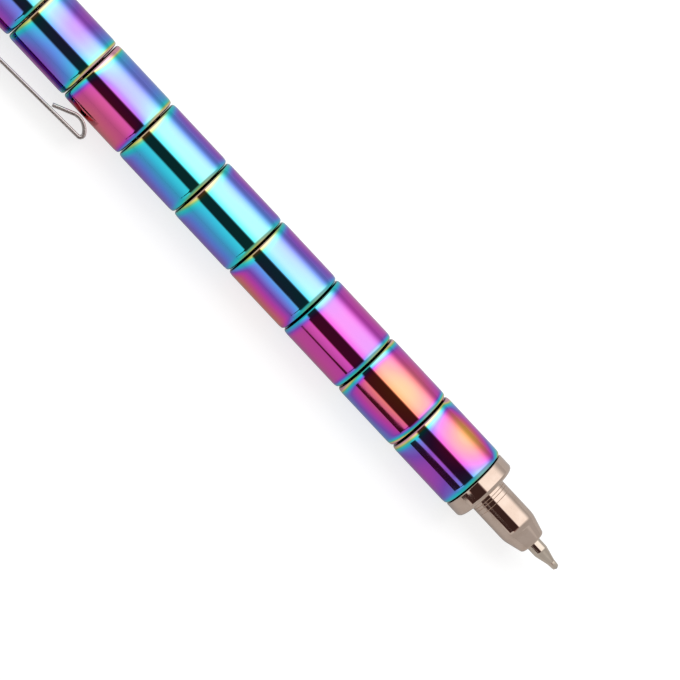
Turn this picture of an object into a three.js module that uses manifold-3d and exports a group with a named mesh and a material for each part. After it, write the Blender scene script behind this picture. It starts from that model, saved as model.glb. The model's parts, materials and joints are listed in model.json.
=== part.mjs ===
// Magnetic ballpoint pen: a barrel of ring magnets stacked on a slim refill, closed by a steel writing
// nozzle at one end and a touch tip at the other, with a spring clip gripped between two of the rings.
//
// Millimetres. The pen lies along X with its writing tip at +X. It rests on the rings and on the clip's
// elbow, with the surface at Z = 0 and the origin under the middle of its bounding box.

import * as THREE from "three";
import { mergeVertices } from "three/addons/utils/BufferGeometryUtils.js";
import Module from "manifold-3d";

const wasm = await Module();
wasm.setup();

// Ring magnets
const ringCount = 12;
const ringDiameter = 9.5;
const ringLength = 10.15;
const ringBore = 4.5;
const ringEdgeRadius = 0.4;
const ringBoreChamfer = 0.2;

// Clearances
const faceGap = 0.05; // between flat faces that the magnets pull together
const guideGap = 0.1; // radial, between a spigot and the bore that it centres in
const pressGap = 0.03; // radial, between pieces that are pressed together
const ballGap = 0.03; // round the ball in its socket

// Writing nozzle
const flangeDiameter = 9.2;
const flangeLength = 2.35;
const flangeFrontRadius = 0.55;
const flangeRearRadius = 0.15;
const nozzleDiameter = 5.16;
const nozzleLength = 11.25; // from the first ring to the mouth
const nozzleShoulder = 8.5; // from the first ring to the start of the taper
const nozzleShoulderRadius = 5.5;
const nozzleTaper = 15.5; // degrees, half angle
const nozzleMouthRadius = 0.4;
const nozzleRootRadius = 0.15;
const spigotLength = 3.2;
const spigotEdgeRadius = 0.12;

// Refill
const tubeDiameter = 3.0;
const tubeBore = 1.9;
const tubeClearance = 0.15; // radial, in the nozzle
const tubeFront = 8.0; // from the first ring to the front end of the tube
const refillLength = 106.8; // from the ball's crimped lip to the open end of the tube
const inkLength = 78;
const collarDiameter = 2.7;
const collarLength = 0.6;
const tipDiameter = 2.0;
const tipShoulder = 1.5; // from the nozzle's mouth to the start of the tip's cone
const tipConeLength = 1.95;
const tipLandLength = 0.95;
const tipLandDiameter = 1.04;
const tipLipDiameter = 0.8;
const tipBlendRadius = 1;
const shankLength = 3.4;
const barbCount = 3;
const barbDepth = 0.08;
const inkChannel = 0.9; // diameter behind the seat
const feedChannel = 0.36; // diameter at the seat
const feedLength = 0.9;
const ballDiameter = 0.7;
const lipGrip = 0.06; // how much less than the ball's radius the crimped lip opens to

// Silicone grip rings on the refill
const gripSqueeze = 0.04; // left free at the tube and at the bore
const gripRearInset = 14; // from the end of the tube to the rear grip ring

// Touch tip
const holderLength = 6.4;
const holderMouthDiameter = 7.6;
const holderMouthRadius = 0.25;
const holderWall = 0.55;
const holderCupDepth = 3.4;
const holderLip = 0.35; // how far the rolled rim reaches in over the dome's foot
const holderLipLength = 0.7;
const domeWall = 0.8;
const domeFootLength = 0.9;
const domeBulge = 0.18; // how far the dome swells past its neck
const domeHeight = 3.5;

// Spring clip, stamped from one strip
const clipAfterRing = 11; // rings between the nozzle and the clip's washer
const sheet = 0.5;
const washerDiameter = 9.0;
const washerBore = 4.7;
const strapWidth = 4.0;
const strapEndWidth = 3.3;
const strapLength = 45.3; // straight part
const strapSlope = 2.4; // degrees that the strap leans in towards the barrel
const elbowRadius = 0.85; // to the middle of the sheet, as all of the clip's radii
const endBendRadius = 0.46;
const endBendAngle = 122;
const curlRadius = 2.4;
const curlAngle = 61;
const tailBendRadius = 1.6;
const tailBendAngle = 19;
const tailGap = 0.12; // between the curl's free end and the strap
const curlClearance = 0.15; // between the curl and the barrel
const sheetEdge = 0.12; // bevel on the edges of the strip

// Facets round each turned piece
const barrelSides = 32;
const nozzleSides = 36;
const slimSides = 24;
const ballSides = 16;
const gripSectionSides = 6;

// Finishes
const iridescent = new THREE.MeshStandardMaterial({ color: 0x5a6fd8, roughness: 0.08, metalness: 1 });
const nickel = new THREE.MeshStandardMaterial({ color: 0xd9cfc6, roughness: 0.16, metalness: 1 });
const springSteel = new THREE.MeshStandardMaterial({ color: 0xd8d8d6, roughness: 0.12, metalness: 1 });
const nickelSilver = new THREE.MeshStandardMaterial({ color: 0xcfc6b8, roughness: 0.2, metalness: 1 });
const carbide = new THREE.MeshStandardMaterial({ color: 0x6e6e72, roughness: 0.15, metalness: 1 });
const clearPlastic = new THREE.MeshStandardMaterial({ color: 0xe8eaea, roughness: 0.3, opacity: 0.5 });
clearPlastic.transparent = true;
const ink = new THREE.MeshStandardMaterial({ color: 0x10121c, roughness: 0.4 });
const silicone = new THREE.MeshStandardMaterial({ color: 0xd8d8d4, roughness: 0.6 });
const blackRubber = new THREE.MeshStandardMaterial({ color: 0x17171a, roughness: 0.7 });

const pitch = ringLength + faceGap;
const ringRadius = ringDiameter / 2;
const radians = THREE.MathUtils.degToRad;

// A closed outline from its corners, [x, r] or [x, r, fillet radius]. A fillet is limited by the shorter
// of the two walls beside it.
function rounded(corners, degreesPerStep = 45) {
  const points = [];
  corners.forEach(([x, r, fillet = 0], i) => {
    const here = new THREE.Vector2(x, r);
    const [bx, br] = corners[(i + corners.length - 1) % corners.length];
    const [ax, ar] = corners[(i + 1) % corners.length];
    const back = new THREE.Vector2(bx, br).sub(here);
    const ahead = new THREE.Vector2(ax, ar).sub(here);
    const halfAngle = back.angleTo(ahead) / 2;
    const reach = Math.min(fillet / Math.tan(halfAngle), 0.48 * Math.min(back.length(), ahead.length()));
    if (reach < 1e-3) {
      points.push(here);
      return;
    }
    const radius = reach * Math.tan(halfAngle);
    const from = here.clone().addScaledVector(back.normalize(), reach);
    const to = here.clone().addScaledVector(ahead.normalize(), reach);
    const centre = here.clone().addScaledVector(back.add(ahead).normalize(), radius / Math.sin(halfAngle));
    const start = from.clone().sub(centre).angle();
    let turn = to.clone().sub(centre).angle() - start;
    turn -= 2 * Math.PI * Math.round(turn / (2 * Math.PI));
    const steps = Math.max(1, Math.round(THREE.MathUtils.radToDeg(Math.abs(turn)) / degreesPerStep));
    for (let k = 0; k <= steps; k++) {
      const angle = start + (turn * k) / steps;
      const spoke = new THREE.Vector2(Math.cos(angle), Math.sin(angle));
      points.push(centre.clone().addScaledVector(spoke, radius));
    }
  });
  return points;
}

// A piece turned about X from an outline of (x, r) points, with a flat side down so that a ring rests on
// it. A bored outline runs round the wall. A solid one starts and ends on the axis, and isn't closed again.
function turned(outline, sides) {
  const solid = outline[0].y === 0 && outline.at(-1).y === 0;
  const loop = solid ? [...outline] : [...outline, outline[0]];
  if (THREE.ShapeUtils.area(loop) > 0) {
    loop.reverse();
  }
  const profile = loop.map((p) => new THREE.Vector2(p.y, p.x));
  return new THREE.LatheGeometry(profile, sides, Math.PI / sides).rotateZ(-Math.PI / 2);
}

// A ring magnet from x to x + ringLength, with rounded rims so that two rings meet in a fine groove.
function ringGeometry(x) {
  const end = x + ringLength;
  const bore = ringBore / 2;
  const outline = rounded([
    [x, bore + ringBoreChamfer],
    [x, ringRadius, ringEdgeRadius],
    [end, ringRadius, ringEdgeRadius],
    [end, bore + ringBoreChamfer],
    [end - ringBoreChamfer, bore],
    [x + ringBoreChamfer, bore],
  ]);
  return turned(outline, barrelSides);
}

// Where the stack's pieces lie. The nozzle seats at x = 0, and the clip's washer takes its own room in
// the stack.
const washerRoom = sheet + faceGap;
const ringRear = (n) => -n * pitch - (n > clipAfterRing ? washerRoom : 0);
const washerFront = ringRear(clipAfterRing) - faceGap;
const holderFace = ringRear(ringCount) - faceGap;
const spigotRadius = ringBore / 2 - guideGap;

// The writing nozzle: a flange that seats on the first magnet, a spigot that centres in its bore, and a
// tapered snout. Inside, a cone at 45 degrees stops the refill's collar.
function nozzleGeometry() {
  const bore = tubeDiameter / 2 + tubeClearance;
  const tipHole = tipDiameter / 2 + guideGap;
  const seat = tubeFront + collarLength + faceGap;
  const mouthRadius = nozzleDiameter / 2 - (nozzleLength - nozzleShoulder) * Math.tan(radians(nozzleTaper));
  const outline = rounded([
    [-spigotLength, bore],
    [seat - (bore - collarDiameter / 2), bore],
    [seat + (collarDiameter / 2 - tipHole), tipHole],
    [nozzleLength, tipHole],
    [nozzleLength, mouthRadius, nozzleMouthRadius],
    [nozzleShoulder, nozzleDiameter / 2, nozzleShoulderRadius],
    [flangeLength, nozzleDiameter / 2, nozzleRootRadius],
    [flangeLength, flangeDiameter / 2, flangeFrontRadius],
    [0, flangeDiameter / 2, flangeRearRadius],
    [0, spigotRadius],
    [-spigotLength, spigotRadius, spigotEdgeRadius],
  ]);
  return turned(outline, nozzleSides);
}

// The refill's metal point: a barbed shank in the tube, a collar that stops in the nozzle, and the cone
// whose crimped lip holds the ball. The ink runs through a stepped channel to the ball's seat.
const lipEnd = nozzleLength + tipShoulder + tipConeLength + tipLandLength;
const ballRadius = ballDiameter / 2;
const lipOpening = ballRadius - lipGrip + ballGap;
const ballCentre = lipEnd - Math.sqrt(ballRadius ** 2 - (ballRadius - lipGrip) ** 2);
const shankRear = tubeFront - shankLength;
const refillRear = lipEnd - refillLength;

function tipGeometry() {
  const shank = tubeBore / 2 - pressGap;
  const seatRadius = ballRadius + ballGap;
  const seatRear = ballCentre - ballRadius - ballGap;
  const barbLength = shankLength / (barbCount + 1);
  const barbs = [];
  for (let n = barbCount; n >= 1; n--) {
    const root = shankRear + n * barbLength;
    barbs.push([root, shank - barbDepth], [root, shank]);
  }
  const outline = rounded([
    [shankRear, inkChannel / 2],
    [seatRear - feedLength, inkChannel / 2],
    [seatRear - feedLength / 2, feedChannel / 2],
    [seatRear, feedChannel / 2],
    [ballCentre - ballRadius / 2, seatRadius],
    [ballCentre, seatRadius],
    [lipEnd, lipOpening],
    [lipEnd, tipLipDiameter / 2],
    [lipEnd - tipLandLength, tipLandDiameter / 2, tipBlendRadius],
    [lipEnd - tipLandLength - tipConeLength, tipDiameter / 2, tipBlendRadius],
    [tubeFront + collarLength, tipDiameter / 2],
    [tubeFront + collarLength, collarDiameter / 2],
    [tubeFront + faceGap, collarDiameter / 2],
    [tubeFront + faceGap, shank - barbDepth],
    ...barbs,
    [shankRear, shank - 2 * barbDepth],
  ]);
  return turned(outline, slimSides);
}

function ballGeometry() {
  const sphere = new THREE.SphereGeometry(ballRadius, ballSides, ballSides / 2 + 2);
  return sphere.rotateZ(-Math.PI / 2).translate(ballCentre, 0, 0);
}

// The refill's plastic tube, open at both ends so that air follows the ink.
function tubeGeometry() {
  const outline = rounded([
    [tubeFront, tubeBore / 2],
    [tubeFront, tubeDiameter / 2, 0.1],
    [refillRear, tubeDiameter / 2, 0.1],
    [refillRear, tubeBore / 2],
  ]);
  return turned(outline, slimSides);
}

// The ink stands in the tube behind the metal point.
function inkGeometry() {
  const front = shankRear - faceGap;
  const radius = tubeBore / 2 - pressGap;
  const outline = [
    [front - inkLength, 0],
    [front - inkLength, radius],
    [front, radius],
    [front, 0],
  ];
  return turned(rounded(outline), slimSides);
}

// A silicone ring that grips the refill and centres it in the bore of the magnets.
function gripGeometry(x) {
  const inner = tubeDiameter / 2 + gripSqueeze;
  const outer = (ringBore / 2) * Math.cos(Math.PI / barrelSides) - gripSqueeze;
  const middle = (outer + inner) / 2;
  const section = (outer - inner) / 2;
  const torus = new THREE.TorusGeometry(middle, section, gripSectionSides, slimSides);
  return torus.rotateY(Math.PI / 2).translate(x, 0, 0);
}

// The touch tip's holder: the same flange and spigot as the nozzle's, and a cup whose rim is rolled over
// the dome's foot.
const cupRadius = holderMouthDiameter / 2 - holderWall;
const neckRadius = cupRadius - holderLip;
const cupFloor = holderFace - holderLength + holderCupDepth;
const lipFront = holderFace - holderLength + holderLipLength;

function holderGeometry() {
  const rear = holderFace - holderLength;
  const outline = rounded([
    [holderFace + spigotLength, 0],
    [holderFace + spigotLength, spigotRadius, spigotEdgeRadius],
    [holderFace, spigotRadius],
    [holderFace, flangeDiameter / 2, flangeRearRadius],
    [holderFace - flangeLength, flangeDiameter / 2, flangeFrontRadius],
    [holderFace - flangeLength, holderMouthDiameter / 2, nozzleRootRadius],
    [rear, holderMouthDiameter / 2, holderMouthRadius],
    [rear, neckRadius],
    [lipFront, neckRadius],
    [lipFront, cupRadius],
    [cupFloor, cupRadius],
    [cupFloor, 0],
  ]);
  return turned(outline, barrelSides);
}

// The touch tip itself: a hollow dome of conductive rubber, whose foot is trapped in the holder's cup.
function domeGeometry() {
  const foot = cupRadius - pressGap;
  const neck = neckRadius - pressGap;
  const rim = holderFace - holderLength;
  const footFront = cupFloor - faceGap;
  const footRear = footFront - domeFootLength;
  const dome = neckRadius + domeBulge;
  const shell = (radius, height) =>
    [12, 30, 48, 64, 78].map((degrees) => [
      rim - faceGap - height * Math.sin(radians(degrees)),
      radius * Math.cos(radians(degrees)),
    ]);
  const outline = [
    [rim - faceGap - domeHeight, 0],
    ...shell(dome, domeHeight).reverse(),
    [rim - faceGap, neck],
    [footRear, neck],
    [footRear, foot],
    [footFront, foot],
    [footFront, neck - domeWall],
    ...shell(dome - domeWall, domeHeight - domeWall),
    [rim - faceGap - domeHeight + domeWall, 0],
  ];
  return turned(rounded(outline), slimSides);
}

// The clip's strip, walked along the middle of the sheet in the plane of X and the distance from the pen's
// axis. A move is [length] straight ahead, or [radius, degrees] round a bend that turns in to the barrel.
function walk(x, r, heading, moves, degreesPerStep = 12) {
  const stations = [{ x, r, heading }];
  for (const [size, degrees] of moves) {
    const last = stations.at(-1);
    if (degrees === undefined) {
      stations.push({
        x: last.x + size * Math.cos(last.heading),
        r: last.r + size * Math.sin(last.heading),
        heading: last.heading,
      });
      continue;
    }
    const centre = { x: last.x + size * Math.sin(last.heading), r: last.r - size * Math.cos(last.heading) };
    const steps = Math.ceil(degrees / degreesPerStep);
    for (let k = 1; k <= steps; k++) {
      const turnedTo = last.heading - (radians(degrees) * k) / steps;
      stations.push({
        x: centre.x - size * Math.sin(turnedTo),
        r: centre.r + size * Math.cos(turnedTo),
        heading: turnedTo,
      });
    }
  }
  return stations;
}

// The walk starts inside the washer and runs out to the elbow, at the height that leaves the curl just off
// the barrel. The curl's straight tail runs back until its free end is just short of the strap.
function clipStations() {
  const middle = washerFront - sheet / 2;
  const bends = [
    [elbowRadius, 90 + strapSlope],
    [strapLength],
    [endBendRadius, endBendAngle],
    [curlRadius, curlAngle],
    [tailBendRadius, tailBendAngle],
  ];
  const trial = walk(middle, 0, Math.PI / 2, bends);
  const headingBack = trial.filter((station) => station.heading < -Math.PI / 2);
  const lowest = Math.min(...headingBack.map((station) => station.r));
  const start = (washerDiameter + washerBore) / 4;
  const tab = ringRadius + curlClearance + sheet / 2 - lowest - start;

  const tail = trial.at(-1);
  const strapEnd = trial.find((station) => station.heading < 0);
  const acrossStrap =
    (strapEnd.r - tail.r) * Math.cos(strapEnd.heading) - (strapEnd.x - tail.x) * Math.sin(strapEnd.heading);
  const tailAngle = radians(endBendAngle + curlAngle + tailBendAngle - 180);
  const needed = (sheet / 2) * (1 + Math.cos(tailAngle)) + tailGap;
  const tailLength = (acrossStrap - needed) / Math.sin(tailAngle);
  return walk(middle, start, Math.PI / 2, [[tab], ...bends, [tailLength]]);
}

// The strip's section at a station, a flat bar with bevelled edges: [across the strip, through the sheet].
function stripSection(width) {
  const w = width / 2;
  const t = sheet / 2;
  return [
    [-w, -t + sheetEdge],
    [-w, t - sheetEdge],
    [-w + sheetEdge, t],
    [w - sheetEdge, t],
    [w, t - sheetEdge],
    [w, -t + sheetEdge],
    [w - sheetEdge, -t],
    [-w + sheetEdge, -t],
  ];
}

// Skins the strip between its stations. The clip is drawn with its strap above the barrel, at +Z.
function stripGeometry(stations) {
  const lengths = [0];
  for (let i = 1; i < stations.length; i++) {
    const [a, b] = [stations[i - 1], stations[i]];
    lengths.push(lengths[i - 1] + Math.hypot(b.x - a.x, b.r - a.r));
  }
  const whole = lengths.at(-1);
  const positions = [];
  const faces = [];
  stations.forEach((station, i) => {
    const width = THREE.MathUtils.lerp(strapWidth, strapEndWidth, lengths[i] / whole);
    for (const [across, through] of stripSection(width)) {
      positions.push(
        station.x - through * Math.sin(station.heading),
        across,
        station.r + through * Math.cos(station.heading),
      );
    }
  });
  const n = stripSection(strapWidth).length;
  for (let i = 0; i + 1 < stations.length; i++) {
    for (let k = 0; k < n; k++) {
      const a = i * n + k;
      const b = i * n + ((k + 1) % n);
      faces.push(a, a + n, b, b, a + n, b + n);
    }
  }
  const end = (stations.length - 1) * n;
  for (let k = 1; k + 1 < n; k++) {
    faces.push(0, k, k + 1, end, end + k + 1, end + k);
  }
  const geometry = new THREE.BufferGeometry();
  geometry.setAttribute("position", new THREE.Float32BufferAttribute(positions, 3));
  geometry.setIndex(faces);
  return geometry;
}

function solidOf(geometry) {
  const bare = geometry.clone();
  bare.deleteAttribute("normal");
  bare.deleteAttribute("uv");
  const merged = mergeVertices(bare);
  return new wasm.Manifold(
    new wasm.Mesh({
      numProp: 3,
      vertProperties: merged.attributes.position.array,
      triVerts: new Uint32Array(merged.index.array),
    }),
  );
}

function geometryOf(solid) {
  const mesh = solid.getMesh();
  const geometry = new THREE.BufferGeometry();
  geometry.setAttribute("position", new THREE.BufferAttribute(mesh.vertProperties, 3));
  geometry.setIndex(new THREE.BufferAttribute(mesh.triVerts, 1));
  geometry.computeVertexNormals();
  return geometry;
}

function clipGeometry(stations) {
  const outline = rounded(
    [
      [washerFront - sheet, washerBore / 2],
      [washerFront - sheet, washerDiameter / 2, sheetEdge],
      [washerFront, washerDiameter / 2, sheetEdge],
      [washerFront, washerBore / 2],
    ],
    90,
  );
  const washer = turned(outline, barrelSides);
  return geometryOf(solidOf(washer).add(solidOf(stripGeometry(stations))));
}

function piece(name, geometry, material) {
  const mesh = new THREE.Mesh(geometry, material);
  mesh.name = name;
  return mesh;
}

// The assembly about the pen's own axis
const pen = new THREE.Group();
pen.add(piece("nozzle", nozzleGeometry(), nickel));
pen.add(piece("refill_point", tipGeometry(), nickelSilver));
pen.add(piece("writing_ball", ballGeometry(), carbide));
pen.add(piece("refill_tube", tubeGeometry(), clearPlastic));
pen.add(piece("ink_column", inkGeometry(), ink));

const gripRoom = (ringBore - tubeDiameter) / 4;
pen.add(piece("grip_ring_front", gripGeometry(-spigotLength - faceGap - gripRoom), silicone));
pen.add(piece("grip_ring_rear", gripGeometry(refillRear + gripRearInset), silicone));

for (let n = 1; n <= ringCount; n++) {
  pen.add(piece("ring_" + String(n).padStart(2, "0"), ringGeometry(ringRear(n)), iridescent));
}
pen.add(piece("touch_tip_holder", holderGeometry(), nickel));
pen.add(piece("touch_tip_dome", domeGeometry(), blackRubber));

// The clip is swung about the axis from straight up to where its outermost corner touches the surface below.
const stations = clipStations();
const axisHeight = ringRadius * Math.cos(Math.PI / barrelSides);
const elbow = Math.max(...stations.map((station) => station.r)) + sheet / 2;
const cornerReach = Math.hypot(elbow, strapWidth / 2);
const clipDip = Math.asin(axisHeight / cornerReach) - Math.atan2(strapWidth / 2, elbow);
const clip = piece("clip", clipGeometry(stations), springSteel);
clip.rotation.x = Math.PI / 2 + clipDip;
pen.add(clip);

// The pen is set down on the surface, with the origin under the middle of its bounding box.
const box = new THREE.Box3().setFromObject(pen, true);
pen.position.set(-(box.min.x + box.max.x) / 2, -(box.min.y + box.max.y) / 2, -box.min.z);
const assembly = new THREE.Group();
assembly.add(pen);

export default assembly;
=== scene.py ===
# %% [markdown]
# # A magnetic ballpoint pen
# The pen is a stack of ring magnets on a slim refill. A steel nozzle closes the stack at the writing end
# and a touch tip closes it at the other end, and a spring clip is gripped between two of the rings.
# The engineering model gives every piece its size and place. Here each piece is modelled again, finer,
# in exactly that place, and gets its finish. All lengths are metres, as everywhere in Blender.

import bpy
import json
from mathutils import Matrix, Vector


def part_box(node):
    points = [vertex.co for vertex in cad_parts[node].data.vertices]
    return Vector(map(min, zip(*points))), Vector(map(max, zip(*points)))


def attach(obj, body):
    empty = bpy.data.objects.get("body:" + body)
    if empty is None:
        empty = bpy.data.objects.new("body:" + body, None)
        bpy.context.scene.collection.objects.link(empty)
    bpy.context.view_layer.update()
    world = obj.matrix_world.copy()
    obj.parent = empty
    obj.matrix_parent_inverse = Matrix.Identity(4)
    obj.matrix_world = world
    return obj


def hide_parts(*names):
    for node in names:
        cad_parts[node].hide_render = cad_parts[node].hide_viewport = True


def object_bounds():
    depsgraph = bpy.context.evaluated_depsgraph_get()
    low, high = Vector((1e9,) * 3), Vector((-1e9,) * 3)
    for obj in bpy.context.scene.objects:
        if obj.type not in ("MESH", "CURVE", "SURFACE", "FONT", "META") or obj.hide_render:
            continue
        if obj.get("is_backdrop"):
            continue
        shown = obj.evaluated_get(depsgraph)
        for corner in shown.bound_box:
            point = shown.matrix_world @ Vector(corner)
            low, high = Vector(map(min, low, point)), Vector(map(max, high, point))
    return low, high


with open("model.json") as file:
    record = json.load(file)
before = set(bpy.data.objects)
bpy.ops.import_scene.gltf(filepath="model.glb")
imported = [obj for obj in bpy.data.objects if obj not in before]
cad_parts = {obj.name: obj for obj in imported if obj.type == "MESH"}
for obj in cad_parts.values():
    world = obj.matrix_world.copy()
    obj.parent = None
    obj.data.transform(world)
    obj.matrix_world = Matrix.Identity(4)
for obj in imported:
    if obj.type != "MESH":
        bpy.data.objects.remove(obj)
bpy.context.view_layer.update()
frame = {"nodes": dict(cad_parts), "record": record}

# %% Other tools
import json
import math

import bmesh
import bpy
from mathutils import Matrix, Vector

mm = 0.001
body_of_node = {
    node: body for body, nodes in frame["record"]["behaviour"]["bodies"].items() for node in nodes
}
print("Blender", bpy.app.version_string, "with", len(body_of_node), "pieces to dress")

# %% [markdown]
# ## The pen's axis
# Everything but the clip is turned about one line. It lies along X, and a middle ring's box shows how
# high and how far to the side. The rings of the engineering model have flat facets, so half the box is
# the radius that the round rings may have without growing out of it.

# %% Axis and barrel radius
ring_low, ring_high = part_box("ring_06")
axis_y = (ring_low.y + ring_high.y) / 2
axis_z = (ring_low.z + ring_high.z) / 2
barrel_radius = (ring_high.z - ring_low.z) / 2
ring_length = ring_high.x - ring_low.x
print("Axis at y", round(axis_y / mm, 3), "z", round(axis_z / mm, 3), "mm")
print("Barrel radius", round(barrel_radius / mm, 3), "mm")


# %% [markdown]
# ## Turning on a lathe
# A turned piece needs only half of its section. By hand one would merge a plane to a single point,
# extrude that point from corner to corner, fill the outline, round its corners with a vertex bevel,
# delete the fill and spin what is left about the axis. These helpers do the same for any list of
# corners, each written as distance along the pen, distance from the axis and, if it is rounded, radius.

# %% Places and selections
def place(x, r):
    """The point at x along the pen and r from its axis, straight above it."""
    return Vector((x, axis_y, axis_z + r))


def pick(test):
    """Selects the vertices whose place passes the test. Used in edit mode."""
    bpy.ops.mesh.select_mode(type="VERT")
    bpy.ops.mesh.select_all(action="DESELECT")
    mesh = bmesh.from_edit_mesh(bpy.context.object.data)
    for vertex in mesh.verts:
        vertex.select_set(test(vertex.co))
    mesh.select_flush(True)
    bmesh.update_edit_mesh(bpy.context.object.data)


def near(point, reach=1e-6):
    """A test for pick: within reach of a point."""
    return lambda co: (co - point).length < reach


# %% Drawing a half section
def draw_section(name, corners, steps):
    """Leaves a new mesh in edit mode that holds the filled outline with its corners rounded."""
    points = [place(corner[0], corner[1]) for corner in corners]
    bpy.ops.object.select_all(action="DESELECT")
    bpy.ops.mesh.primitive_plane_add(size=mm, location=points[0])
    bpy.context.object.name = name
    bpy.context.object.data.name = name
    bpy.ops.object.transform_apply(location=True, rotation=True, scale=True)
    bpy.ops.object.mode_set(mode="EDIT")
    bpy.ops.mesh.select_all(action="SELECT")
    bpy.ops.mesh.merge(type="CENTER")
    for here, there in zip(points, points[1:]):
        bpy.ops.mesh.extrude_region_move(TRANSFORM_OT_translate={"value": there - here})
    bpy.ops.mesh.select_all(action="SELECT")
    bpy.ops.mesh.edge_face_add()
    for i, corner in enumerate(corners):
        if len(corner) < 3:
            continue
        back = points[i - 1] - points[i]
        ahead = points[(i + 1) % len(points)] - points[i]
        reach = corner[2] / math.tan(back.angle(ahead) / 2)
        reach = min(reach, 0.49 * back.length, 0.49 * ahead.length)
        pick(near(points[i]))
        bpy.ops.mesh.bevel(offset=reach, segments=steps, affect="VERTICES", profile=0.5)


# %% Spinning it round
def turn(name, corners, sides=128, steps=6):
    """Turns a piece from the corners of its half section. A solid piece's section touches the axis."""
    draw_section(name, corners, steps)
    bpy.ops.mesh.select_all(action="SELECT")
    bpy.ops.mesh.delete(type="ONLY_FACE")
    if min(corner[1] for corner in corners) == 0:
        pick(lambda co: co.z - axis_z < 1e-7)
        bpy.ops.mesh.delete(type="EDGE")
    bpy.ops.mesh.select_all(action="SELECT")
    bpy.ops.mesh.spin(
        steps=sides, angle=2 * math.pi, use_auto_merge=True, center=place(0, 0), axis=(1, 0, 0)
    )
    bpy.ops.mesh.select_all(action="SELECT")
    bpy.ops.mesh.remove_doubles(threshold=1e-7)
    bpy.ops.mesh.normals_make_consistent(inside=False)
    bpy.ops.object.mode_set(mode="OBJECT")
    print("Turned", name, "with", len(bpy.context.object.data.polygons), "faces")
    return bpy.context.object


# %% [markdown]
# ## Shading a turned piece
# Polished metal shows every fault in its normals. A long wall beside a small fillet would borrow some of
# the fillet's slope and look bent. Smoothing by angle keeps the real corners, and the weighted normal
# modifier lets the large faces decide, so that the walls reflect straight lines. It weighs faces by their
# area and gives up on faces as small as these, so the piece is a thousand times larger meanwhile.

# %% Smooth walls and crisp corners
def smooth(piece, angle=32):
    """Smooths every edge that is blunter than the angle, and keeps the large walls straight."""
    bpy.ops.object.select_all(action="DESELECT")
    piece.select_set(True)
    bpy.context.view_layer.objects.active = piece
    bpy.ops.object.shade_smooth_by_angle(angle=math.radians(angle))
    modifier = piece.modifiers.new("even_walls", "WEIGHTED_NORMAL")
    modifier.keep_sharp = True
    piece.data.transform(Matrix.Scale(1000, 4))
    bpy.ops.object.modifier_apply(modifier=modifier.name)
    piece.data.transform(Matrix.Scale(mm, 4))


def dress(piece, node, finish):
    """Gives a piece its finish, and lets it stand for its node and move with the node's body."""
    piece.data.materials.clear()
    piece.data.materials.append(finish)
    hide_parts(node)
    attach(piece, body_of_node[node])
    print(piece.name, "stands for", node, "with", len(piece.data.polygons), "faces")


# %% [markdown]
# ## Writing shaders as sums
# A finish is a small sum over the surface: where along the pen, how far round, a little noise. A node
# tree of Math nodes hides that sum, so one class wraps a socket and turns Python's own operators into
# Math nodes, and one method makes every other node.

# %% A number in a node tree
class Number:
    """A number that varies over a surface. Sums with it add Math nodes to its tree."""

    def __init__(self, tree, socket):
        self.tree = tree
        self.socket = socket

    def sum(self, operation, *values):
        """Adds a Math node that works on the values."""
        made = self.tree.node("ShaderNodeMath", {"operation": operation}, dict(enumerate(values)))
        return Number(self.tree, made.outputs[0])

    def __add__(self, other):
        return self.sum("ADD", self, other)

    def __radd__(self, other):
        return self.sum("ADD", other, self)

    def __sub__(self, other):
        return self.sum("SUBTRACT", self, other)

    def __rsub__(self, other):
        return self.sum("SUBTRACT", other, self)

    def __mul__(self, other):
        return self.sum("MULTIPLY", self, other)

    def __rmul__(self, other):
        return self.sum("MULTIPLY", other, self)

    def __truediv__(self, other):
        return self.sum("DIVIDE", self, other)

    def __pow__(self, other):
        return self.sum("POWER", self, other)

    def ramp(self, low, high, start=0.0, end=1.0):
        """Goes smoothly from start, where this number is low, to end, where it is high."""
        settings = {"interpolation_type": "SMOOTHSTEP"}
        made = self.tree.node("ShaderNodeMapRange", settings, [self, low, high, start, end])
        return Number(self.tree, made.outputs[0])

    def band(self, low, high, soft):
        """1 between low and high and 0 outside, with soft edges."""
        return self.ramp(low - soft, low + soft) * self.ramp(high - soft, high + soft, 1, 0)


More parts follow.
